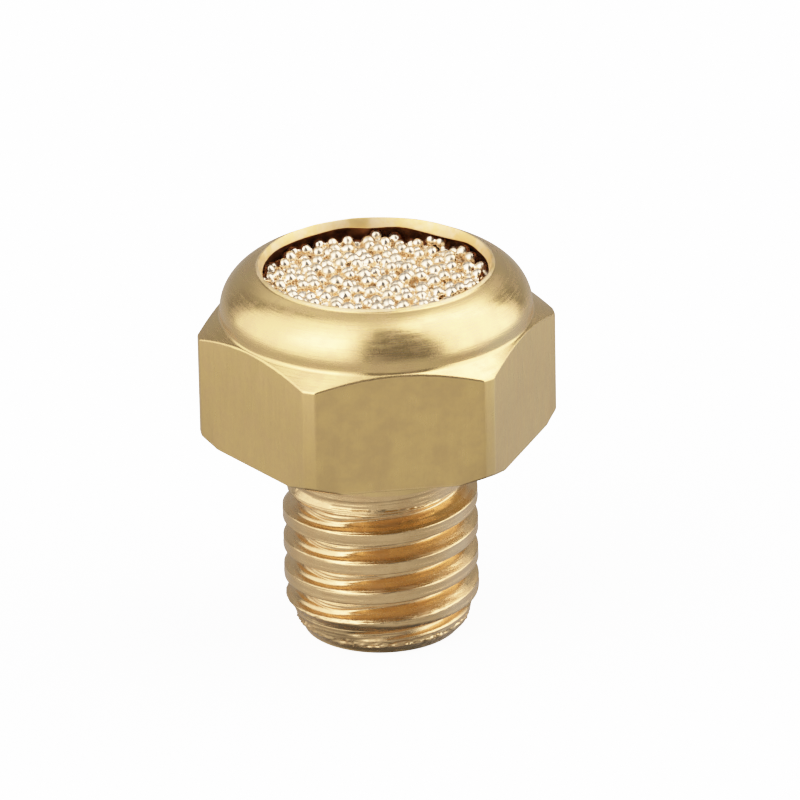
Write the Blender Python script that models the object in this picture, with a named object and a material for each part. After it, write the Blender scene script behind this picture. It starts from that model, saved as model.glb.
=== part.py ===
"""Pneumatic muffler with an M5 thread: a brass hexagon body and the sintered bronze disc rolled into it.

Frame: the origin is the centre of the hexagon's seating face, on the thread's axis. +Z points out of
the port, from the thread to the sintered disc. One flat of the hexagon faces -Y.
"""

import bmesh
import bpy
from math import acos, cos, degrees, pi, radians, sin, sqrt, tan
from mathutils import Matrix

MM = 0.001

# Hexagon, cut from 8 mm hexagon bar
HEX_ACROSS_FLATS = 7.88 * MM
HEX_CORNER_RADIUS = 4.46 * MM       # the bar's corners, turned slightly round
HEX_HEIGHT = 3.06 * MM              # from the seating face to the collar, along a flat's middle
HEX_CHAMFER_ANGLE = radians(30)
HEX_SEAT_RADIUS = 4.20 * MM         # where the lower corner chamfers start

# Stud with the M5 x 0.8 thread
STUD_LENGTH = 5.33 * MM
THREAD_RADIUS = 2.44 * MM
THREAD_ROOT_RADIUS = 2.03 * MM
THREAD_PITCH = 0.80 * MM
THREAD_ROOT_WIDTH = 0.06 * MM
THREAD_FLANK_ANGLE = radians(30)
THREAD_START = -1.37 * MM           # height of the top groove's middle, on the +X side
THREAD_TURNS = 6                    # full-depth turns below that point, past the stud's end
RUN_OUT_TURN = 0.2                  # the part of a turn in which the tool lifts out, above it
RUN_OUT_CLEARANCE = 0.02 * MM       # how far outside the crests the tool's tip ends
GROOVE_OVERREACH = 0.12 * MM        # how far the cut wedge stands out of the crests
END_CHAMFER = 0.47 * MM

# Smooth neck between the thread and the hexagon
NECK_RADIUS = 2.19 * MM
NECK_LENGTH = 1.34 * MM
NECK_SHOULDER = 0.18 * MM
NECK_FILLET = 0.31 * MM             # reaches past the thread's crests, so the seat's ring is clear

# Collar, with its wall rolled in over the sintered disc
TOTAL_HEIGHT = 9.74 * MM
COLLAR_RADIUS = 3.88 * MM
COLLAR_STRAIGHT = 0.19 * MM
CROWN_CENTRE_RADIUS = 2.45 * MM     # centre of the elliptical curve of the rolled wall
CROWN_RISE = 1.17 * MM
RIM_OUTER_RADIUS = 2.98 * MM        # crease between the curve and the narrow rim face
RIM_TOP_RADIUS = 2.89 * MM
RIM_INNER_RADIUS = 2.79 * MM
RIM_THICKNESS = 0.24 * MM

# Air path
BORE_RADIUS = 1.25 * MM
BORE_CHAMFER = 0.15 * MM
SEAT_HEIGHT = 2.20 * MM             # the shoulder that carries the disc
POCKET_RADIUS = 3.12 * MM
POCKET_STRAIGHT = 1.45 * MM
POCKET_CURVE_START = 70             # degrees, where the pocket's upper curve meets the lip

# Sintered disc
DISC_CLEARANCE = 0.03 * MM
DISC_THICKNESS = 1.81 * MM
DISC_EDGE_RADIUS = 0.42 * MM
DISC_CROWN = 0.06 * MM              # the disc's top is slightly higher in its middle
DISC_CROWN_START = 60               # degrees, where the crown's flat ellipse meets the edge

# Finish
BRASS_COLOUR = (0.66, 0.50, 0.26)
BRASS_ROUGHNESS = 0.32
BRONZE_COLOUR = (0.80, 0.60, 0.40)
BRONZE_ROUGHNESS = 0.30
SHARP_EDGE_ANGLE = radians(28)

# How finely curves are divided
TURN_STEPS = 60
FILLET_STEPS = 3
CROWN_STEPS = 9
POCKET_STEPS = 4
DISC_EDGE_STEPS = 4
DISC_CROWN_STEPS = 2
MERGE_DISTANCE = 1e-4 * MM

TOP = TOTAL_HEIGHT - STUD_LENGTH
PRISM_LENGTH = 4 * TOTAL_HEIGHT


def material(name, colour, roughness):
    """A metal with one base colour."""
    metal = bpy.data.materials.new(name)
    metal.use_nodes = True
    shader = metal.node_tree.nodes["Principled BSDF"]
    shader.inputs["Base Color"].default_value = (*colour, 1.0)
    shader.inputs["Metallic"].default_value = 1.0
    shader.inputs["Roughness"].default_value = roughness
    metal.diffuse_color = (*colour, 1.0)
    return metal


def add_object(name, mesh_data, metal=None):
    """Puts a bmesh in the scene as one object, smooth except at its real edges."""
    bmesh.ops.recalc_face_normals(mesh_data, faces=mesh_data.faces)
    mesh = bpy.data.meshes.new(name)
    mesh_data.to_mesh(mesh)
    mesh_data.free()
    mesh.shade_smooth()
    mesh.set_sharp_from_angle(angle=SHARP_EDGE_ANGLE)
    if metal:
        mesh.materials.append(metal)
    thing = bpy.data.objects.new(name, mesh)
    bpy.context.scene.collection.objects.link(thing)
    return thing


def arc(centre, radii, start, end, steps):
    """Points (radius, height) on an elliptical arc, from one angle in degrees to another."""
    points = []
    for step in range(steps + 1):
        angle = radians(start + (end - start) * step / steps)
        points.append((centre[0] + radii[0] * cos(angle), centre[1] + radii[1] * sin(angle)))
    return points


def turned(outline, closed):
    """Turns an outline of (radius, height) points about the Z axis."""
    shape = bmesh.new()
    points = [shape.verts.new((radius, 0.0, height)) for radius, height in outline]
    edges = [shape.edges.new(pair) for pair in zip(points, points[1:])]
    if closed:
        edges.append(shape.edges.new((points[-1], points[0])))
    bmesh.ops.spin(shape, geom=points + edges, cent=(0, 0, 0), axis=(0, 0, 1), angle=2 * pi,
                   steps=TURN_STEPS, use_merge=True)
    bmesh.ops.remove_doubles(shape, verts=shape.verts, dist=MERGE_DISTANCE)
    return shape


def body_outline():
    """Half section of the body as turned and rolled, before its flats and thread are cut."""
    chamfer = tan(HEX_CHAMFER_ANGLE)
    flat_radius = HEX_ACROSS_FLATS / 2
    stud_end = [
        (BORE_RADIUS + BORE_CHAMFER, -STUD_LENGTH),
        (THREAD_RADIUS - END_CHAMFER, -STUD_LENGTH),
        (THREAD_RADIUS, -STUD_LENGTH + END_CHAMFER),
    ]
    neck = [
        (THREAD_RADIUS, -NECK_LENGTH - NECK_SHOULDER),
        (NECK_RADIUS, -NECK_LENGTH),
        *arc((NECK_RADIUS + NECK_FILLET, -NECK_FILLET), (NECK_FILLET, NECK_FILLET),
             180, 90, FILLET_STEPS),
    ]
    hexagon = [
        (HEX_SEAT_RADIUS, 0),
        (HEX_CORNER_RADIUS, (HEX_CORNER_RADIUS - HEX_SEAT_RADIUS) * chamfer),
        (HEX_CORNER_RADIUS, HEX_HEIGHT - (HEX_CORNER_RADIUS - flat_radius) * chamfer),
        (flat_radius, HEX_HEIGHT),
    ]
    curve_centre = (CROWN_CENTRE_RADIUS, HEX_HEIGHT + COLLAR_STRAIGHT)
    curve_radii = (COLLAR_RADIUS - CROWN_CENTRE_RADIUS, CROWN_RISE)
    crease_angle = degrees(acos((RIM_OUTER_RADIUS - CROWN_CENTRE_RADIUS) / curve_radii[0]))
    collar = [(COLLAR_RADIUS, HEX_HEIGHT),
              *arc(curve_centre, curve_radii, 0, crease_angle, CROWN_STEPS)]
    rim_bottom = TOP - RIM_THICKNESS
    rim = [
        (RIM_TOP_RADIUS, TOP),
        (RIM_INNER_RADIUS, rim_bottom),
    ]
    pocket_top = SEAT_HEIGHT + POCKET_STRAIGHT
    pocket_curve = arc((RIM_INNER_RADIUS, pocket_top),
                       (POCKET_RADIUS - RIM_INNER_RADIUS, rim_bottom - pocket_top),
                       POCKET_CURVE_START, 0, POCKET_STEPS)
    bore = [
        (POCKET_RADIUS, SEAT_HEIGHT),
        (BORE_RADIUS, SEAT_HEIGHT),
        (BORE_RADIUS, -STUD_LENGTH + BORE_CHAMFER),
    ]
    return stud_end + neck + hexagon + collar + rim + pocket_curve + bore


def hexagon_prism():
    """The space inside the six flats, long enough to hold the whole body."""
    shape = bmesh.new()
    corner_radius = HEX_ACROSS_FLATS / sqrt(3)
    half_side_turn = Matrix.Rotation(pi / 6, 4, "Z")
    bmesh.ops.create_cone(shape, cap_ends=True, segments=6, radius1=corner_radius,
                          radius2=corner_radius, depth=PRISM_LENGTH, matrix=half_side_turn)
    return shape


def thread_groove():
    """The material that a right-hand thread cuts away, as one long helical wedge."""
    outer_radius = THREAD_RADIUS + GROOVE_OVERREACH
    root_half = THREAD_ROOT_WIDTH / 2
    outer_half = root_half + (outer_radius - THREAD_ROOT_RADIUS) * tan(THREAD_FLANK_ANGLE)
    section = [
        (outer_radius, outer_half),
        (THREAD_ROOT_RADIUS, root_half),
        (THREAD_ROOT_RADIUS, -root_half),
        (outer_radius, -outer_half),
    ]
    run_out_steps = round(RUN_OUT_TURN * TURN_STEPS)
    last_step = THREAD_TURNS * TURN_STEPS + run_out_steps
    shape = bmesh.new()
    previous = None
    for step in range(last_step + 1):
        turn = step / TURN_STEPS
        angle = 2 * pi * turn
        middle = THREAD_START + THREAD_PITCH * (turn - THREAD_TURNS)
        run_out = max(0.0, (step - last_step) / run_out_steps + 1.0)
        lift = run_out * (THREAD_RADIUS - THREAD_ROOT_RADIUS + RUN_OUT_CLEARANCE)
        ring = []
        for radius, offset in section:
            x = (radius + lift) * cos(angle)
            y = (radius + lift) * sin(angle)
            ring.append(shape.verts.new((x, y, middle + offset)))
        if previous:
            for a, b in ((0, 1), (1, 2), (2, 3), (3, 0)):
                shape.faces.new((previous[a], previous[b], ring[b], ring[a]))
        else:
            shape.faces.new(ring)
        previous = ring
    shape.faces.new(previous)
    return shape


def disc_outline():
    """Half section of the sintered disc, with a round top edge and a slightly raised middle."""
    bottom = SEAT_HEIGHT + DISC_CLEARANCE
    radius = POCKET_RADIUS - DISC_CLEARANCE
    edge_centre = (radius - DISC_EDGE_RADIUS, bottom + DISC_THICKNESS - DISC_EDGE_RADIUS)
    edge = arc(edge_centre, (DISC_EDGE_RADIUS, DISC_EDGE_RADIUS), 0, 90, DISC_EDGE_STEPS)
    crown = arc((0, bottom + DISC_THICKNESS), (edge_centre[0], DISC_CROWN),
                DISC_CROWN_START, 90, DISC_CROWN_STEPS)
    return [(0, bottom), (radius, bottom), *edge, *crown]


def cut(thing, name, shape, operation):
    """Cuts an object with a hidden shape."""
    cutter = add_object(name, shape)
    cutter.hide_render = True
    cutter.display_type = "WIRE"
    modifier = thing.modifiers.new(name, "BOOLEAN")
    modifier.operation = operation
    modifier.solver = "EXACT"
    modifier.object = cutter


def build_body():
    """One turned piece: stud, neck, hexagon and the collar with its rolled rim."""
    brass = material("brass", BRASS_COLOUR, BRASS_ROUGHNESS)
    body = add_object("body", turned(body_outline(), closed=True), brass)
    cut(body, "hexagon_flats", hexagon_prism(), "INTERSECT")
    cut(body, "thread_groove", thread_groove(), "DIFFERENCE")


def build_disc():
    """The porous disc that the air leaves through."""
    bronze = material("sintered_bronze", BRONZE_COLOUR, BRONZE_ROUGHNESS)
    add_object("sintered_element", turned(disc_outline(), closed=False), bronze)


def main():
    for thing in list(bpy.data.objects):
        bpy.data.objects.remove(thing, do_unlink=True)
    build_body()
    build_disc()


main()
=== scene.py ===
from math import cos, pi, radians, sin, tan

import bmesh
import bpy
import numpy as np
from mathutils import Matrix, Vector


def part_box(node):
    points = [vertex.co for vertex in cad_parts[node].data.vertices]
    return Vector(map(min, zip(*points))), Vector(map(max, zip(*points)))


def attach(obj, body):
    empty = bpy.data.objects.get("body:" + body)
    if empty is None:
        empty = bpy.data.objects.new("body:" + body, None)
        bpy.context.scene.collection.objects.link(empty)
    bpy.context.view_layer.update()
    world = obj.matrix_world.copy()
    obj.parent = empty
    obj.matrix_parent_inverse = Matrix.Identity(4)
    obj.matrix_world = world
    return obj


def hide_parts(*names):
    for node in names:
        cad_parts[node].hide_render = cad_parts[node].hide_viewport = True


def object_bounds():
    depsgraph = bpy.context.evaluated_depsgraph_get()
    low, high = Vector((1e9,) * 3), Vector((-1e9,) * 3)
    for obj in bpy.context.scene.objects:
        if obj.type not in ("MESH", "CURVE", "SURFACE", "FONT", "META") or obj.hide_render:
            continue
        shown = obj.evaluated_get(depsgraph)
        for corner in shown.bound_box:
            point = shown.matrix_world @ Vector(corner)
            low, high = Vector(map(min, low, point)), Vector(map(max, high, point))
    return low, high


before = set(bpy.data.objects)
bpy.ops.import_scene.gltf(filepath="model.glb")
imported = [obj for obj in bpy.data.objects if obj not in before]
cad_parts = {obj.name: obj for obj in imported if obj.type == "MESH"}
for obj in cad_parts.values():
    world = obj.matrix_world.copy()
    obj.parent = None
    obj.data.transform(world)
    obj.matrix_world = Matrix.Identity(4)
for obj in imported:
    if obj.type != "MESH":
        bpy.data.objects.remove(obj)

MM = 0.001
cad_low, cad_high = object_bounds()

# Heights and radii in millimetres that come from the CAD boxes
body_low, body_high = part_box("body")
disc_low, disc_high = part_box("sintered_element")
END = body_low.z / MM
TOP = body_high.z / MM
FLAT = body_high.y / MM
CORNER = body_high.x / MM
DISC_BOTTOM = disc_low.z / MM
DISC_TOP = disc_high.z / MM
DISC_RADIUS = disc_high.x / MM

# Sizes that repeat the CAD source, in millimetres
HEX_HEIGHT = 3.06
CHAMFER_SLOPE = tan(radians(30))
SEAT_EDGE = 4.20
THREAD_RADIUS = 2.44
ROOT_RADIUS = 2.03
PITCH = 0.80
ROOT_HALF = 0.03
FLANK_SLOPE = tan(radians(30))
GROOVE_START = -1.37
RUN_OUT_TURN = 0.2
NECK_RADIUS = 2.19
NECK_START = -1.34
NECK_FILLET = 0.31
COLLAR_RADIUS = 3.88
COLLAR_STRAIGHT = 0.19
CROWN_CENTRE = 2.45
CROWN_RISE = 1.17
RIM_OUTER = 2.98
RIM_TOP = 2.89
RIM_INNER = 2.79
RIM_THICKNESS = 0.24
BORE_RADIUS = 1.25
BORE_CHAMFER = 0.15
SEAT_HEIGHT = 2.20
POCKET_RADIUS = 3.12
POCKET_TOP = 3.65

FIRST_WAVE = 2

rng = np.random.RandomState(7)


def waves(angle, count, amplitude, seed):
    """A smooth random function of the angle round the axis, closed after one turn."""
    source = np.random.RandomState(seed)
    total = np.zeros_like(angle)
    for number in range(FIRST_WAVE, FIRST_WAVE + count):
        total += source.normal() * np.cos(number * angle + source.uniform(0, 2 * pi))
    return amplitude * total / np.sqrt(count)


def soft_min(a, b, width):
    """The smaller of two arrays, with the corner between them rounded."""
    gap = np.clip((a - b) / width, -40, 40)
    return np.minimum(a, b) - width * np.log1p(np.exp(-np.abs(gap)))


# Columns: angles round the axis, closer together at the hexagon's corners. One side's are in degrees.
AFTER_CORNER = [0.0, 1.0, 1.6, 1.95, 2.3, 2.7, 3.3]
ALONG_SIDE = list(np.linspace(4.1, 55.9, 50))
BEFORE_CORNER = [56.7, 57.3, 57.7, 58.05, 58.4, 59.0]
ONE_SIDE = AFTER_CORNER + ALONG_SIDE + BEFORE_CORNER
ANGLES = np.radians([60.0 * side + a for side in range(6) for a in ONE_SIDE])
COLUMNS = len(ANGLES)
COS, SIN = np.cos(ANGLES), np.sin(ANGLES)
CORNER_SOFTNESS = 0.006


def hexagon_radius():
    """Distance from the axis to the hexagon's side, with the turned corners."""
    flat = FLAT / np.cos(np.mod(ANGLES, pi / 3) - pi / 6)
    return soft_min(flat, np.full(COLUMNS, CORNER), CORNER_SOFTNESS)


def row(radius, height):
    """One ring of points, as (radius, height) arrays."""
    return np.array([np.broadcast_to(radius, COLUMNS), np.broadcast_to(height, COLUMNS)], float)


CURVE_STEPS = 3
LONGEST_REACH = 0.45    # the share of an outline's side that the curve at one of its ends may use


def rounded(corners):
    """Rows along an outline of (row, rounding radius) corners, each corner replaced by a curve."""
    rows = [corners[0][0]]
    for (before, _), (corner, radius), (after, _) in zip(corners, corners[1:], corners[2:]):
        if radius <= 0:
            rows.append(corner)
            continue
        back, ahead = before - corner, after - corner
        back_length = np.maximum(np.hypot(*back), 1e-9)
        ahead_length = np.maximum(np.hypot(*ahead), 1e-9)
        reach_back = np.minimum(radius, LONGEST_REACH * back_length) / back_length
        reach_ahead = np.minimum(radius, LONGEST_REACH * ahead_length) / ahead_length
        start, end = corner + back * reach_back, corner + ahead * reach_ahead
        for step in range(CURVE_STEPS + 1):
            t = step / CURVE_STEPS
            rows.append((1 - t) ** 2 * start + 2 * t * (1 - t) * corner + t ** 2 * end)
    rows.append(corners[-1][0])
    return rows


def smooth(value, low, high):
    """0 below low, 1 above high, and a smooth curve between them."""
    t = np.clip((value - low) / (high - low), 0, 1)
    return t * t * (3 - 2 * t)


# Stud ---------------------------------------------------------------------

# The stud's worn end: radius of its outline at each height, both in millimetres. It ends in a step
# on one side and slopes more evenly on the other.
END_RADIUS = 1.966
TAPER_HEIGHTS = [END, END + 0.09, END + 0.16, END + 0.26, END + 0.42, END + 0.72, END + 0.92]
STEP_RADII = [END_RADIUS, 1.985, 2.03, 2.15, 2.18, 2.26, THREAD_RADIUS]
SLOPE_RADII = [END_RADIUS, 2.05, 2.12, 2.18, 2.22, 2.29, THREAD_RADIUS]
SLOPE_SIDE = radians(8)

# The first ridge, which rises from the neck and is lowest on one side. Sides are in degrees.
LOW_RIDGE_SIDE = 217
LOW_RIDGE_HALF = (62, 115)      # it rises between these angles away from that side
RIDGE_SLOPE = 0.42
RIDGE_EXTRA_SLOPE = 2.6
RIDGE_START = 0.025

# The groove. A lip of pushed metal hangs below each crest, widest at one place under the first ridge.
GROOVE_FLOOR_SOFTNESS = 0.012
LIP_DEPTH = 0.13
LIP_OFFSET = 0.205
LIP_EXTRA = 0.10
LIP_TURN = -0.27
LIP_TURN_WIDTH = 0.10

# Torn steps on the groove's flanks, and torn metal that lies in it on one side of the stud
TORN_SIDE = 212
TORN_HALF = 34
STEP_HEIGHT = 0.009
STEP_EXTRA = 0.024
STEP_LENGTH = 0.105
STEP_WANDER = 0.02
SCRAP_SIDE = 229
SCRAP_HALF = 22
SCRAP_REACH = 80
SCRAP_HEIGHT = 0.19

# The last groove before the end is partly filled by burrs
FILLED_DEPTH = (4.60, 4.80)
FILLED_BY = 0.06


def degrees_from(angle, side):
    """How far each angle round the axis is from a side given in degrees."""
    return np.degrees(np.abs(np.mod(angle - radians(side) + pi, 2 * pi) - pi))


def stud_radius(angle, height):
    """The stud's surface: worn end, crests, first ridge and neck, with the thread's groove cut in."""
    stepped = np.interp(height, TAPER_HEIGHTS, STEP_RADII)
    sloped = np.interp(height, TAPER_HEIGHTS, SLOPE_RADII)
    outline = stepped + (sloped - stepped) * (0.5 + 0.5 * np.cos(angle - SLOPE_SIDE))
    away = smooth(degrees_from(angle, LOW_RIDGE_SIDE), *LOW_RIDGE_HALF)
    slope = RIDGE_SLOPE + RIDGE_EXTRA_SLOPE * away
    ridge = NECK_RADIUS + RIDGE_START + (NECK_START - height).clip(0) * slope
    outline = soft_min(outline, ridge, 0.008)
    outline = np.where(height > NECK_START, NECK_RADIUS, outline)
    turn = (height - GROOVE_START) / PITCH - angle / (2 * pi)
    nearest = np.round(turn)
    offset = (turn - nearest) * PITCH
    lead = nearest + angle / (2 * pi)
    lift = np.clip(lead / RUN_OUT_TURN, 0, 1) * (THREAD_RADIUS - ROOT_RADIUS + 0.02)
    lift = np.where(lead > RUN_OUT_TURN, 1.0, lift)
    soft = GROOVE_FLOOR_SOFTNESS
    ramp = np.sqrt((np.abs(offset) - ROOT_HALF).clip(0) ** 2 + soft ** 2) - soft
    hang = LIP_OFFSET - LIP_EXTRA * np.exp(-((lead - LIP_TURN) / LIP_TURN_WIDTH) ** 2)
    lip = LIP_DEPTH * smooth(offset, hang - 0.012, hang + 0.012)
    side = np.exp(-(degrees_from(angle, TORN_SIDE) / TORN_HALF) ** 2)
    across = (np.abs(offset) + STEP_WANDER * np.sin(3 * angle)) / STEP_LENGTH
    steps = (STEP_HEIGHT + STEP_EXTRA * side) * np.sin(2 * pi * across)
    groove = ROOT_RADIUS + ramp / FLANK_SLOPE + lift + lip
    apart = degrees_from(angle, SCRAP_SIDE)
    scrap = ROOT_RADIUS + SCRAP_HEIGHT * np.exp(-(apart / SCRAP_HALF) ** 2)
    scrap = np.where(apart < SCRAP_REACH, scrap, 0.0)
    groove = -soft_min(-groove, -scrap, 0.012) + steps
    filled = FILLED_BY * smooth(-height, *FILLED_DEPTH)
    return soft_min(outline, groove + filled, 0.006)


# The stud's rows lie between two level rings, at these phases of each turn of the helix
LOW_RING = END + 0.015
HIGH_RING = -0.95
PHASES = [-0.43, -0.385, -0.36, -0.343, -0.328, -0.305, -0.27, -0.235, -0.19, -0.15, -0.11, -0.07,
          -0.035, 0.0, 0.035, 0.07, 0.11, 0.15, 0.19, 0.225, 0.243, 0.258, 0.275, 0.30, 0.33, 0.36,
          0.40, 0.45, 0.5]
PER_TURN = len(PHASES)
HIGH_FADE = 0.08
LOW_FADE = 0.04
MARK_DEPTH = 0.0062
CREST_EDGE_PHASE = 0.36
CREST_BURR = 0.014
BURR_DEPTHS = (3.9, 4.7)
TORN_RIDGE_DEPTH = 5.02
TORN_RIDGE_HALF = 0.09
TORN_RIDGE_BURR = 0.020


def stud_mesh():
    """Points and faces of the stud from LOW_RING to HIGH_RING. Its rows follow the thread's helix."""
    first = int(np.floor((LOW_RING - GROOVE_START) / PITCH)) - 2
    last = int(np.ceil((HIGH_RING - GROOVE_START) / PITCH)) + 1
    levels = np.array([t + p for t in range(first, last + 1) for p in PHASES])
    turns = levels[:, None] + (ANGLES / (2 * pi))[None, :]
    heights = np.clip(GROOVE_START + PITCH * turns, LOW_RING, HIGH_RING)
    angle = np.broadcast_to(ANGLES, heights.shape)
    radii = stud_radius(angle, heights)
    # marks and burrs fade out towards the rings, where the stud joins the other rows
    inside = np.clip((HIGH_RING - heights) / HIGH_FADE, 0, 1)
    inside = inside * np.clip((heights - LOW_RING) / LOW_FADE, 0, 1)
    # tool marks: every line of the helix has its own small offset, which changes along the way and
    # ends each turn as the line that follows it
    lines = len(levels)
    strength = rng.normal(size=lines)[:, None] * MARK_DEPTH
    rate = rng.uniform(0.4, 1.4, lines)[:, None]
    start = rng.uniform(0, 2 * pi, lines)[:, None]
    turned_by = ANGLES / (2 * pi)
    marks = strength * (0.7 + 0.5 * np.cos(2 * pi * rate * turned_by + start))
    following = strength * (0.7 + 0.5 * np.cos(2 * pi * rate * (turned_by - 1) + start))
    handover = smooth(turned_by, 0.7, 1.0)
    marks = marks * (1 - handover) + np.roll(following, -PER_TURN, 0) * handover
    radii = radii + inside * marks
    # burrs on the crest edges, stronger towards the stud's end, where the last ridge is torn
    phase = np.abs(levels - np.round(levels))[:, None]
    edge = np.exp(-((phase - CREST_EDGE_PHASE) / 0.04) ** 2)
    rough = rng.normal(size=heights.shape)
    rough = (rough + np.roll(rough, 1, 1) + 0.5 * np.roll(rough, -1, 1)) / 2
    nearness = 0.10 + 0.9 * smooth(-heights, *BURR_DEPTHS)
    torn = np.exp(-((heights + TORN_RIDGE_DEPTH) / TORN_RIDGE_HALF) ** 2)
    radii = radii + inside * (edge * nearness * CREST_BURR + torn * TORN_RIDGE_BURR) * rough
    points = np.stack([radii * COS, radii * SIN, heights], -1)
    index = np.arange(points.shape[0] * COLUMNS).reshape(points.shape[0], COLUMNS)
    right = np.empty_like(index)
    right[:, :-1] = index[:, 1:]
    right[:-PER_TURN, -1] = index[PER_TURN:, 0]
    quads = np.stack([index[:-1], right[:-1], right[1:], index[1:]], -1)[:-PER_TURN].reshape(-1, 4)
    spans = np.ptp(heights.ravel()[quads], axis=1)
    return points.reshape(-1, 3), quads[spans > 1e-9].tolist()


# Rest of the body ----------------------------------------------------------

CROWN_STEPS = 28
CROWN_RIPPLE = 0.008
COLLAR_FILLET = 0.07
HEX_EDGES = (0.03, 0.05, 0.045)    # rounding at the seat, the lower corners and the upper corners
LIP_LOW_SIDE = radians(52)
LIP_LOW_HALF = 0.55
LIP_LOW_BY = 0.06
RIM_RAISED = 0.021                 # the rim's top row is cut off at TOP afterwards, so it is flat there
CLOSE = 0.02                       # rows closer than this to an edge or a flat count as on it


def outline_rows():
    """Rows of the body apart from the stud's side: from HIGH_RING up and over, then down the bore."""
    side = hexagon_radius()
    seat = np.minimum(side, SEAT_EDGE)
    low_edge = (side - SEAT_EDGE).clip(0) * CHAMFER_SLOPE
    high_edge = HEX_HEIGHT - (side - FLAT).clip(0) * CHAMFER_SLOPE
    neck_top = row(NECK_RADIUS, -NECK_FILLET)
    underside = [row(NECK_RADIUS, HIGH_RING), row(NECK_RADIUS, HIGH_RING + 0.05), neck_top]
    for angle in (150, 120):
        a = radians(angle)
        underside.append(row(NECK_RADIUS + NECK_FILLET * (1 + cos(a)), NECK_FILLET * (sin(a) - 1)))
    ring_in = row(NECK_RADIUS + NECK_FILLET, 0)
    low, high = row(side, low_edge), row(side, high_edge)
    at_seat, at_low, at_high = HEX_EDGES
    collar_foot = row(COLLAR_RADIUS, HEX_HEIGHT + (FLAT - COLLAR_RADIUS) * CHAMFER_SLOPE)
    hexagon = rounded([(ring_in, 0), (row(seat, 0), at_seat), (low, at_low),
                       (low + (high - low) * 0.5, 0), (high, at_high), (collar_foot, COLLAR_FILLET),
                       (row(COLLAR_RADIUS, HEX_HEIGHT + COLLAR_STRAIGHT), 0)])
    rows = underside + hexagon
    radius = COLLAR_RADIUS - CROWN_CENTRE
    crease = np.arccos((RIM_OUTER - CROWN_CENTRE) / radius)
    ripple = waves(ANGLES, 9, CROWN_RIPPLE, 3)
    for step in range(1, CROWN_STEPS + 1):
        a = crease * step / CROWN_STEPS
        dent = ripple * sin(a) ** 2
        rows.append(row(CROWN_CENTRE + radius * cos(a) + 0 * ANGLES,
                        HEX_HEIGHT + COLLAR_STRAIGHT + CROWN_RISE * sin(a) - np.abs(dent) * 0.6))
    crown_end = rows.pop()
    inner = RIM_INNER + waves(ANGLES, 14, 0.008, 5)
    lip = TOP - RIM_THICKNESS + waves(ANGLES, 14, 0.016, 6)
    back_right = np.exp(-((np.mod(ANGLES - LIP_LOW_SIDE + pi, 2 * pi) - pi) / LIP_LOW_HALF) ** 2)
    lip = lip - LIP_LOW_BY * back_right * (0.7 + 0.7 * np.cos(8 * ANGLES))
    top = row(RIM_TOP + waves(ANGLES, 16, 0.006, 9),
              TOP + RIM_RAISED - np.abs(waves(ANGLES, 14, 0.006, 8)))
    facet = rounded([(rows[-1], 0), (crown_end, 0.035), (top, 0.045), (row(inner, lip), 0.045),
                     (row(RIM_INNER + 0.15, lip + 0.02), 0.04), (row(POCKET_RADIUS, POCKET_TOP), 0.25),
                     (row(POCKET_RADIUS, SEAT_HEIGHT), 0.03),
                     (row(BORE_RADIUS, SEAT_HEIGHT), 0.03), (row(BORE_RADIUS, END + BORE_CHAMFER), 0.03),
                     (row(BORE_RADIUS + BORE_CHAMFER, END), 0.03),
                     (row(END_RADIUS, END), 0.008),
                     (row(END_RADIUS + 0.012, LOW_RING), 0)])
    return [np.array([r, z.clip(END, TOP)]) for r, z in rows + facet[1:]]


# Zones of the body's surface: the order of its materials
DRAWN, TURNED, THREADED, PAINTED_SHADE, ROLLED = range(5)
CROWN_ROW = 30       # a row on the crown, below the rim
SHADE_EDGE_RADIUS = 2.0     # behind the rim, rows outside this radius belong to the pocket, which is painted dark brown as the shade in that recess
SHORTEST_FLAT = 0.06


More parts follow.
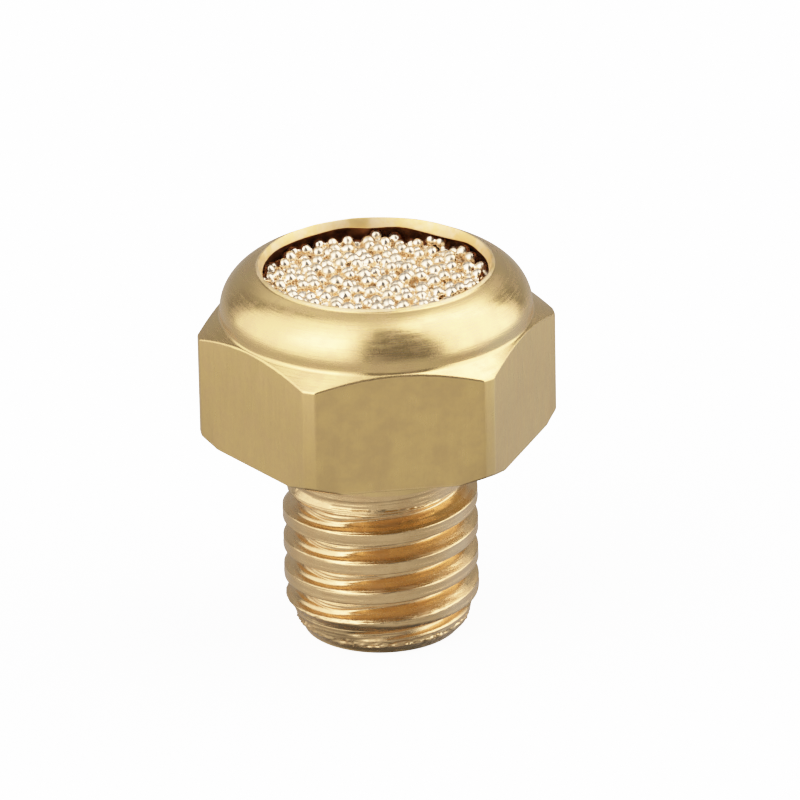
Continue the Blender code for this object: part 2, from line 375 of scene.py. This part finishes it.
def build_body():
    """The body as one closed mesh: the stud's helix joined to the rows of the rest."""
    points, faces = stud_mesh()
    zones = [THREADED] * len(faces)
    rings = outline_rows()
    # the stud's own end rings: their radii follow the thread
    rings[0] = row(stud_radius(ANGLES, np.full(COLUMNS, HIGH_RING)), HIGH_RING)
    rings[-1] = row(stud_radius(ANGLES, np.full(COLUMNS, LOW_RING)), LOW_RING)
    start = len(points)
    extra = [np.stack([r * COS, r * SIN, z], -1) for r, z in rings]
    points = np.vstack([points] + extra)
    flat_side = hexagon_radius()
    means = [float(np.mean(r)) for r, z in rings]
    later = range(CROWN_ROW, len(rings))
    pocket_start = next(k for k in later if means[k] < RIM_INNER + CLOSE)
    rim_start = next(k for k in later if means[k] < RIM_OUTER - 0.012)
    for k in range(len(rings) - 1):
        lower, upper = rings[k], rings[k + 1]
        on_flat = (np.abs(lower[0] - flat_side) < CLOSE) & (np.abs(upper[0] - flat_side) < CLOSE)
        on_flat &= (lower[1] > -0.01) & (upper[1] < HEX_HEIGHT + 0.01)
        ring_zone = TURNED
        # the pocket's rows get the dark brown painted shade of the recess behind the rim
        if k > pocket_start and means[k] > SHADE_EDGE_RADIUS:
            ring_zone = PAINTED_SHADE
        elif rim_start <= k <= pocket_start:
            ring_zone = ROLLED
        for j in range(COLUMNS):
            n = (j + 1) % COLUMNS
            a, b = start + k * COLUMNS, start + (k + 1) * COLUMNS
            faces.append([a + j, a + n, b + n, b + j])
            tall = np.hypot(*(upper - lower)[:, j]) > SHORTEST_FLAT
            zones.append(DRAWN if on_flat[j] and tall else ring_zone)
    mesh = bpy.data.meshes.new("muffler_body")
    mesh.from_pydata([tuple(p) for p in points], [], faces)
    mesh.polygons.foreach_set("material_index", zones)
    shape = bmesh.new()
    shape.from_mesh(mesh)
    bmesh.ops.remove_doubles(shape, verts=shape.verts, dist=2e-4)
    bmesh.ops.dissolve_degenerate(shape, edges=shape.edges, dist=1e-5)
    bmesh.ops.recalc_face_normals(shape, faces=shape.faces)
    bmesh.ops.scale(shape, vec=(MM, MM, MM), verts=shape.verts)
    shape.to_mesh(mesh)
    shape.free()
    mesh.shade_smooth()
    body = bpy.data.objects.new("muffler_body", mesh)
    bpy.context.scene.collection.objects.link(body)
    weighted = body.modifiers.new("weighted_normals", "WEIGHTED_NORMAL")
    weighted.weight = 60
    weighted.keep_sharp = False
    return body


# Sintered element -----------------------------------------------------------

BALL_LOW, BALL_HIGH = 0.152, 0.205
BED_DEPTH = 0.42       # the lowest balls' centres are about this far under the disc's top
BASE_DEPTH = 0.46      # the solid disc under the balls starts here
BED_CROWN = 0.03
BED_EDGE = 0.16
CONTACT = 0.90         # balls touch at this share of the sum of their radii
TRIES = 24
ENOUGH_MISSES = 700
VOXEL = 0.030
KEPT_TRIANGLES = 0.46
WALL_GAP = 0.002
MOST_REPAIRS = 6


def ceiling(x, y):
    """How high the balls may reach, in millimetres."""
    distance = np.hypot(x, y)
    inside = np.clip(distance - (DISC_RADIUS - BED_EDGE), 0, BED_EDGE)
    drop = BED_EDGE - np.sqrt(BED_EDGE ** 2 - inside ** 2)
    return DISC_TOP - BED_CROWN * (distance / DISC_RADIUS) ** 2 - drop


def pack_balls():
    """Balls dropped one by one under the ceiling, each to the lowest of some random places."""
    balls = np.zeros((0, 4))
    floor = DISC_TOP - BED_DEPTH
    misses = 0
    while misses < ENOUGH_MISSES:
        radius = rng.uniform(BALL_LOW, BALL_HIGH)
        reach = (DISC_RADIUS - radius - 0.01) * np.sqrt(rng.uniform(0, 1, TRIES))
        if misses % 3 == 1:
            # some balls are tried along the edge only, so that it fills up
            reach = DISC_RADIUS - radius - rng.uniform(0.01, 0.30, TRIES)
        turn = rng.uniform(0, 2 * pi, TRIES)
        x, y = reach * np.cos(turn), reach * np.sin(turn)
        height = np.full(TRIES, floor + radius * rng.uniform(-0.6, 0.6))
        if len(balls):
            distance = (x[:, None] - balls[:, 0]) ** 2 + (y[:, None] - balls[:, 1]) ** 2
            contact = (CONTACT * (radius + balls[:, 3])) ** 2
            rise = balls[:, 2] + np.sqrt((contact - distance).clip(0))
            rise = np.where(distance < contact, rise, -1)
            height = np.maximum(height, rise.max(1))
        best = np.argmin(height)
        if height[best] + radius > ceiling(x[best], y[best]):
            misses += 1
            continue
        misses = max(0, misses - 1)
        balls = np.vstack([balls, (x[best], y[best], height[best], radius)])
    return balls


def build_element():
    """The balls and the disc under them, fused into one closed mesh."""
    balls = pack_balls()
    shape = bmesh.new()
    bmesh.ops.create_icosphere(shape, subdivisions=3, radius=1.0)
    unit = np.array([v.co for v in shape.verts])
    unit_faces = np.array([[v.index for v in f.verts] for f in shape.faces])
    shape.clear()
    depth = DISC_TOP - BASE_DEPTH - DISC_BOTTOM
    middle = Matrix.Translation((0, 0, DISC_BOTTOM + depth / 2))
    bmesh.ops.create_cone(shape, cap_ends=True, segments=128, radius1=DISC_RADIUS, radius2=DISC_RADIUS,
                          depth=depth, matrix=middle)
    base = [tuple(v.co) for v in shape.verts]
    base_faces = [[v.index for v in f.verts] for f in shape.faces]
    shape.free()
    points = (balls[:, None, :3] + balls[:, None, 3:] * unit[None]).reshape(-1, 3)
    faces = (unit_faces[None] + (np.arange(len(balls)) * len(unit))[:, None, None]).reshape(-1, 3)
    mesh = bpy.data.meshes.new("sintered_bed")
    mesh.from_pydata(base + points.tolist(), [], base_faces + (faces + len(base)).tolist())
    bed = bpy.data.objects.new("sintered_bed", mesh)
    bpy.context.scene.collection.objects.link(bed)
    remesh = bed.modifiers.new("fuse", "REMESH")
    remesh.mode = "VOXEL"
    remesh.voxel_size = VOXEL
    smoothing = bed.modifiers.new("melt", "SMOOTH")
    smoothing.factor = 0.5
    smoothing.iterations = 2
    thinning = bed.modifiers.new("thin", "DECIMATE")
    thinning.ratio = KEPT_TRIANGLES
    view = bpy.context.evaluated_depsgraph_get()
    fused = bpy.data.meshes.new_from_object(bed.evaluated_get(view))
    bpy.data.objects.remove(bed)
    places = np.empty(len(fused.vertices) * 3)
    fused.vertices.foreach_get("co", places)
    places = places.reshape(-1, 3)
    reach = np.hypot(places[:, 0], places[:, 1])
    shrink = np.minimum(1, (DISC_RADIUS - WALL_GAP) / np.maximum(reach, 1e-9))
    places[:, :2] *= shrink[:, None]
    places[:, 2] = places[:, 2].clip(DISC_BOTTOM, DISC_TOP)
    fused.vertices.foreach_set("co", (places * MM).ravel())
    fused.validate()
    shape = bmesh.new()
    shape.from_mesh(fused)
    # the few places where balls only just touch are cut out and closed again
    for _ in range(MOST_REPAIRS):
        bad = [e for e in shape.edges if not e.is_manifold]
        if not bad:
            break
        bmesh.ops.delete(shape, geom=list({v for e in bad for v in e.verts}), context="VERTS")
        bmesh.ops.holes_fill(shape, edges=[e for e in shape.edges if e.is_boundary], sides=0)
        bmesh.ops.triangulate(shape, faces=[f for f in shape.faces if len(f.verts) > 4])
    bmesh.ops.recalc_face_normals(shape, faces=shape.faces)
    shape.to_mesh(fused)
    shape.free()
    fused.name = "sintered_bed"
    fused.shade_smooth()
    fused.materials.clear()
    bed = bpy.data.objects.new("sintered_bed", fused)
    bpy.context.scene.collection.objects.link(bed)
    return bed


# Materials ---------------------------------------------------------------

class Net:
    """Short calls for building a node tree."""

    def __init__(self, tree):
        self.tree = tree

    def node(self, kind, settings=None, **inputs):
        made = self.tree.nodes.new(kind)
        for name, value in (settings or {}).items():
            setattr(made, name, value)
        for name, value in inputs.items():
            key = int(name[1:]) if name[0] == "i" and name[1:].isdigit() else name.replace("_", " ")
            socket = made.inputs[key]
            if hasattr(value, "is_output"):
                self.tree.links.new(value, socket)
            else:
                socket.default_value = value
        return made

    def math(self, operation, a, b=0.0, c=0.0):
        return self.node("ShaderNodeMath", {"operation": operation}, i0=a, i1=b, i2=c).outputs[0]

    def noise(self, vector, scale, detail, roughness):
        made = self.node("ShaderNodeTexNoise", None, Vector=vector, Scale=scale, Detail=detail,
                         Roughness=roughness)
        return made.outputs[0]

    def ramp(self, value, low, high, to_low=0.0, to_high=1.0):
        made = self.node("ShaderNodeMapRange", {"interpolation_type": "SMOOTHSTEP"}, i0=value,
                         i1=low, i2=high, i3=to_low, i4=to_high)
        return made.outputs[0]

    def stretch(self, vector, x, y, z):
        made = self.node("ShaderNodeVectorMath", {"operation": "MULTIPLY"}, i0=vector, i1=(x, y, z))
        return made.outputs[0]

    def mix(self, factor, a, b):
        made = self.node("ShaderNodeMix", {"data_type": "RGBA"}, i0=factor, i6=a, i7=b)
        return made.outputs[2]


def metal(name, colour, other, roughness, bump, stretch, blotch=2.2, tones=(0.35, 0.65)):
    """A metal with blotches of a second tone, uneven roughness and fine directional marks."""
    made = bpy.data.materials.new(name)
    made.use_nodes = True
    net = Net(made.node_tree)
    shader = made.node_tree.nodes["Principled BSDF"]
    spot = net.node("ShaderNodeTexCoord").outputs["Object"]
    place = net.stretch(spot, 1 / MM, 1 / MM, 1 / MM)
    patches = net.noise(place, blotch, 4.0, 0.6)
    marks = net.noise(net.stretch(place, *stretch), 1.0, 5.0, 0.65)
    grain = net.noise(place, 38.0, 3.0, 0.6)
    tone = net.ramp(patches, *tones)
    link = made.node_tree.links.new
    link(net.mix(tone, (*colour, 1), (*other, 1)), shader.inputs["Base Color"])
    low, high = roughness
    worn = net.math("MULTIPLY_ADD", marks, 0.5, net.math("MULTIPLY", patches, 0.5))
    link(net.ramp(worn, 0.35, 0.65, low, high), shader.inputs["Roughness"])
    shader.inputs["Metallic"].default_value = 1.0
    marks_height, grain_height = bump
    height = net.math("MULTIPLY_ADD", marks, marks_height,
                      net.math("MULTIPLY", grain, grain_height))
    bumped = net.node("ShaderNodeBump", None, Strength=1.0, Distance=MM, Height=height)
    link(bumped.outputs[0], shader.inputs["Normal"])
    made.diffuse_color = (*colour, 1)
    return made


# Each finish: two colours, least and most roughness, depths of marks and grain in mm, marks per mm
BRASS = (0.90, 0.59, 0.225)
# painted shade: a dark brown brass that stands in for the shade deep in the pocket behind the rim
pocket_shade_paint = metal("brass_painted_pocket_shade", (0.20, 0.075, 0.03), (0.07, 0.025, 0.012), (0.45, 0.6),
              (0.003, 0.002), (3, 3, 3))
rolled = metal("brass_rolled", BRASS, (0.94, 0.68, 0.38), (0.40, 0.56), (0.012, 0.006), (7, 7, 7))
drawn = metal("brass_drawn", (0.90, 0.58, 0.205), (0.79, 0.50, 0.195), (0.27, 0.40),
              (0.006, 0.0016), (14, 14, 1.0), tones=(0.30, 0.70))
turned = metal("brass_turned", BRASS, (0.84, 0.53, 0.22), (0.18, 0.32), (0.0035, 0.0010),
               (1.0, 1.0, 26))
threaded = metal("brass_thread", (0.88, 0.565, 0.26), (0.80, 0.49, 0.22), (0.18, 0.34),
                 (0.0055, 0.0016), (1.6, 1.6, 26))
bronze = metal("sintered_bronze", (0.96, 0.78, 0.57), (0.94, 0.72, 0.48), (0.16, 0.30),
               (0.0014, 0.0008), (3, 3, 3), blotch=3.0)

body = build_body()
for finish in (drawn, turned, threaded, pocket_shade_paint, rolled):    # in the order of the zones
    body.data.materials.append(finish)
bed = build_element()
bed.data.materials.append(bronze)
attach(body, "root")
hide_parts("body")
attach(bed, "root")
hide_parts("sintered_element")

# Stage -------------------------------------------------------------------
VIEW_TURN_DEGREES = 7.8
VIEW_TURN = radians(VIEW_TURN_DEGREES)
VIEW_RISE = radians(24.0)

FLOOR_GAP = 2e-5    # the floor lies just under the stud's end
FLOOR_RADIUS = 0.6
FLOOR_GLOW = 1.6
floor_mesh = bpy.data.meshes.new("floor")
floor_shape = bmesh.new()
bmesh.ops.create_circle(floor_shape, cap_ends=True, segments=96, radius=FLOOR_RADIUS,
                        matrix=Matrix.Translation((0, 0, cad_low.z - FLOOR_GAP)))
floor_shape.to_mesh(floor_mesh)
floor_shape.free()
floor = bpy.data.objects.new("floor", floor_mesh)
bpy.context.scene.collection.objects.link(floor)
floor.visible_glossy = False
paper = bpy.data.materials.new("paper")
paper.use_nodes = True
paper_shader = paper.node_tree.nodes["Principled BSDF"]
paper_shader.inputs["Base Color"].default_value = (0.9, 0.9, 0.9, 1)
paper_shader.inputs["Roughness"].default_value = 0.9
paper_shader.inputs["Specular IOR Level"].default_value = 0.0
paper_shader.inputs["Emission Color"].default_value = (1, 1, 1, 1)
paper_shader.inputs["Emission Strength"].default_value = FLOOR_GLOW
floor_mesh.materials.append(paper)

# The studio's light by direction: elevation, and azimuth from the photograph's viewpoint, in degrees
world = bpy.data.worlds.new("studio")
bpy.context.scene.world = world
world.use_nodes = True
tree = world.node_tree
tree.nodes.clear()
net = Net(tree)
direction = net.node("ShaderNodeTexCoord").outputs["Generated"]
parts = net.node("ShaderNodeSeparateXYZ", None, Vector=direction).outputs
backward = net.math("MULTIPLY", parts[1], -1.0)
azimuth = net.math("MULTIPLY_ADD", net.math("ARCTAN2", parts[0], backward), 180 / pi, VIEW_TURN_DEGREES)
past_half = net.math("MULTIPLY", net.math("GREATER_THAN", azimuth, 180.0), 360.0)
azimuth = net.math("SUBTRACT", azimuth, past_half)
elevation = net.math("MULTIPLY", net.math("ARCSINE", parts[2]), 180 / pi)


def band(value, low, high, soft):
    """1 between two angles in degrees, falling to 0 over a soft edge."""
    rise = net.ramp(value, low - soft, low + soft)
    fall = net.ramp(value, high - soft, high + soft, 1.0, 0.0)
    return net.math("MULTIPLY", rise, fall)


def add(*terms):
    total = terms[0]
    for term in terms[1:]:
        total = net.math("ADD", total, term)
    return total


def times(*terms):
    total = terms[0]
    for term in terms[1:]:
        total = net.math("MULTIPLY", total, term)
    return total


left_box = band(azimuth, -122, -15, 3)
right_box = band(azimuth, 51, 122, 5)
above = net.ramp(elevation, -12.0, 2.0)
below = net.math("SUBTRACT", 1.0, above)
tall = net.ramp(elevation, 72.0, 92.0, 1.0, 0.0)
ceiling_glow = net.ramp(elevation, 55.0, 85.0)
floor_glow = net.ramp(elevation, -70.0, -22.0)
front = band(azimuth, -60, 30, 20)
low_right = band(azimuth, 78, 130, 14)
behind = net.math("ABSOLUTE", azimuth)
slit = times(band(azimuth, -25, 60, 8), net.ramp(elevation, 76.0, 88.0, 1.0, 0.0))
light = add(
    0.07,
    times(above, 0.05),
    times(ceiling_glow, net.math("MULTIPLY_ADD", slit, -0.42, 0.54)),
    times(below, floor_glow, 0.31),
    times(below, floor_glow, front, 0.115),
    times(below, floor_glow, band(azimuth, -110, -60, 18), 0.12),
    times(below, floor_glow, low_right, 0.12),
    times(left_box, tall, above, net.ramp(azimuth, -122.0, -62.0, 1.35, 1.7)),
    times(band(azimuth, -70, -26, 12), band(elevation, 20, 60, 12), 1.5),
    times(right_box, tall, above, 2.3),
    times(band(azimuth, 112, 142, 6), band(elevation, 40, 72, 6), 2.0),
    times(net.ramp(behind, 130.0, 150.0), above, 0.16),
    times(band(behind, 138, 166, 8), band(elevation, 36, 66, 8), 0.5),
)
tint = net.mix(times(low_right, below), (1, 1, 1, 1), (0.97, 1.11, 1.42, 1))
background = net.node("ShaderNodeBackground", None, Strength=light)
tree.links.new(tint, background.inputs["Color"])
output = net.node("ShaderNodeOutputWorld")
tree.links.new(background.outputs[0], output.inputs[0])

# Camera ------------------------------------------------------------------
FRAME_WIDTH = 800
SCALE = 40.2               # pixels per millimetre at the object
DISTANCE = 225.0           # millimetres
ROLL = radians(1.1)
CENTRE = (21.4, 25.5)      # pixels from the origin to the frame's centre, right and up
toward = Vector((-sin(VIEW_TURN) * cos(VIEW_RISE), -cos(VIEW_TURN) * cos(VIEW_RISE),
                 sin(VIEW_RISE)))
camera_data = bpy.data.cameras.new("camera")
camera = bpy.data.objects.new("camera", camera_data)
bpy.context.scene.collection.objects.link(camera)
bpy.context.scene.camera = camera
level = toward.to_track_quat("Z", "Y").to_matrix()
turned_view = level @ Matrix.Rotation(-ROLL, 3, "Z")
right_axis, up_axis = turned_view.col[0], turned_view.col[1]
aim = (right_axis * (CENTRE[0] / SCALE) + up_axis * (CENTRE[1] / SCALE)) * MM
camera.matrix_world = Matrix.Translation(aim + toward * DISTANCE * MM) @ turned_view.to_4x4()
camera_data.sensor_width = 36.0
camera_data.lens = SCALE * camera_data.sensor_width * DISTANCE / FRAME_WIDTH
camera_data.clip_start = 0.01
camera_data.clip_end = 10.0

# A soft shoulder for the bright end, up to a scene value of WHITE
WHITE = 4.0
SHOULDER_RATE = 1.6
SHOULDER_POINTS = (0.0, 0.12, 0.25, 0.5, 0.8, 1.2, 1.7, 2.5, 4.0)
view_settings = bpy.context.scene.view_settings
view_settings.view_transform = "Standard"
view_settings.use_curve_mapping = True
curve_mapping = view_settings.curve_mapping
curve_mapping.white_level = (WHITE, WHITE, WHITE)
combined = curve_mapping.curves[3]
wanted = [(x, 1 - np.exp(-SHOULDER_RATE * x)) for x in SHOULDER_POINTS]
while len(combined.points) < len(wanted):
    combined.points.new(1.0, 1.0)
for point, (x, y) in zip(combined.points, wanted):
    point.location = (x / WHITE, y)
curve_mapping.update()
